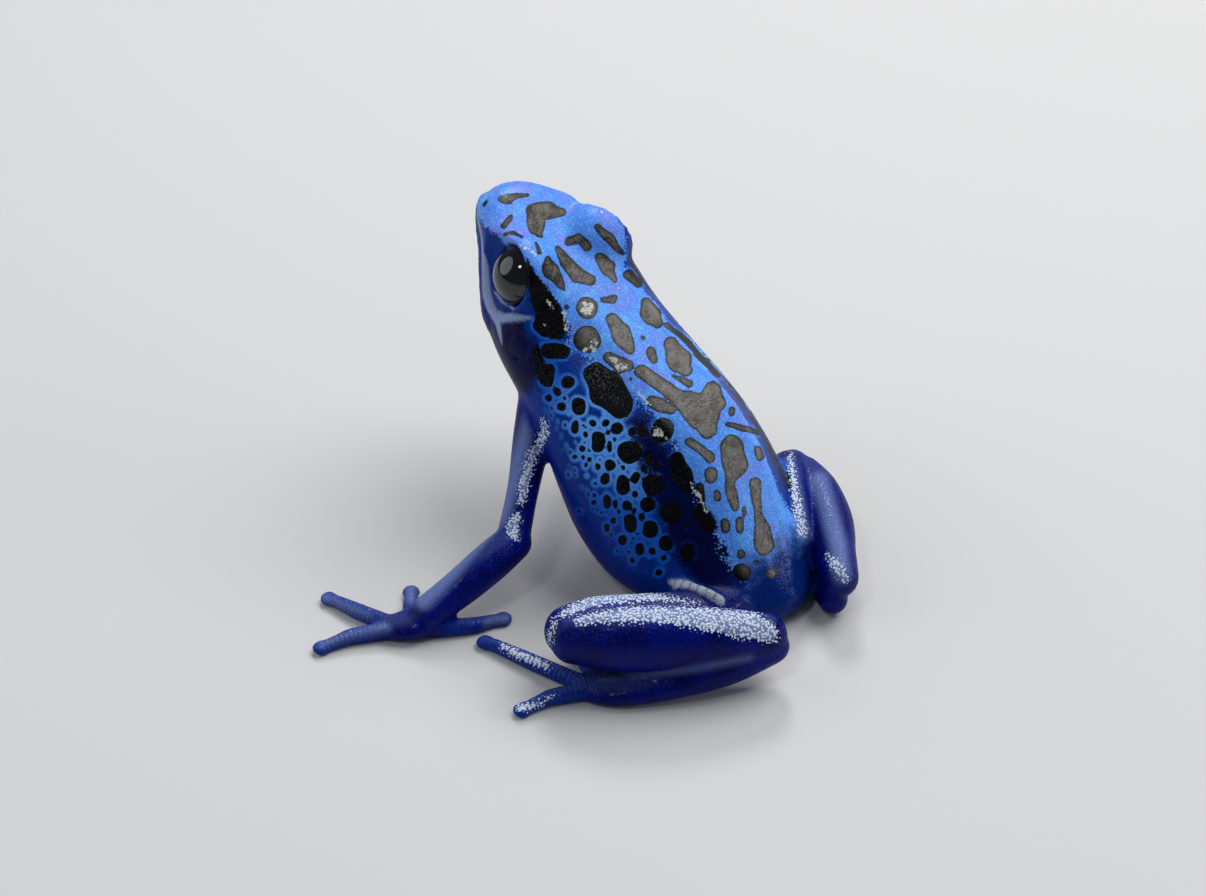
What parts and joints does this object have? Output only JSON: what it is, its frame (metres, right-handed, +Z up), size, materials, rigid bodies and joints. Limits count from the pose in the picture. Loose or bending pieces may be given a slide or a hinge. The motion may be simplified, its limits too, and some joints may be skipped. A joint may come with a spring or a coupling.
{
  "type": "blue poison dart frog model",
  "caption": "Still life-size blue poison dart frog sitting upright on folded hind legs with fore legs planted, blue skin with dark spots.",
  "frame": {"origin": "middle of the bounding box's bottom face, on the floor that the belly, hands and feet rest on", "axes": "+Z up; the frog faces -Y with its head and its left side is at +X"},
  "size_m": [0.0427, 0.0372, 0.0237],
  "materials": {
    "skin_body": "moist satin skin, light blue back and deep blue flanks with black spots, fine grain, clear coat",
    "skin_limb": "moist satin skin, deep ultramarine blue with fine pale grain along the upper sides",
    "eye": "wet high gloss black"
  },
  "bodies": {
    "root": {"head": "skin_body", "torso": "skin_body", "eye_left": "eye", "eye_right": "eye", "upper_arm_left": "skin_limb", "upper_arm_right": "skin_limb", "forearm_left": "skin_limb", "forearm_right": "skin_limb", "hand_left": "skin_limb", "hand_right": "skin_limb", "thigh_left": "skin_limb", "thigh_right": "skin_limb", "shank_left": "skin_limb", "shank_right": "skin_limb", "foot_left": "skin_limb", "foot_right": "skin_limb"}
  },
  "joints": []
}
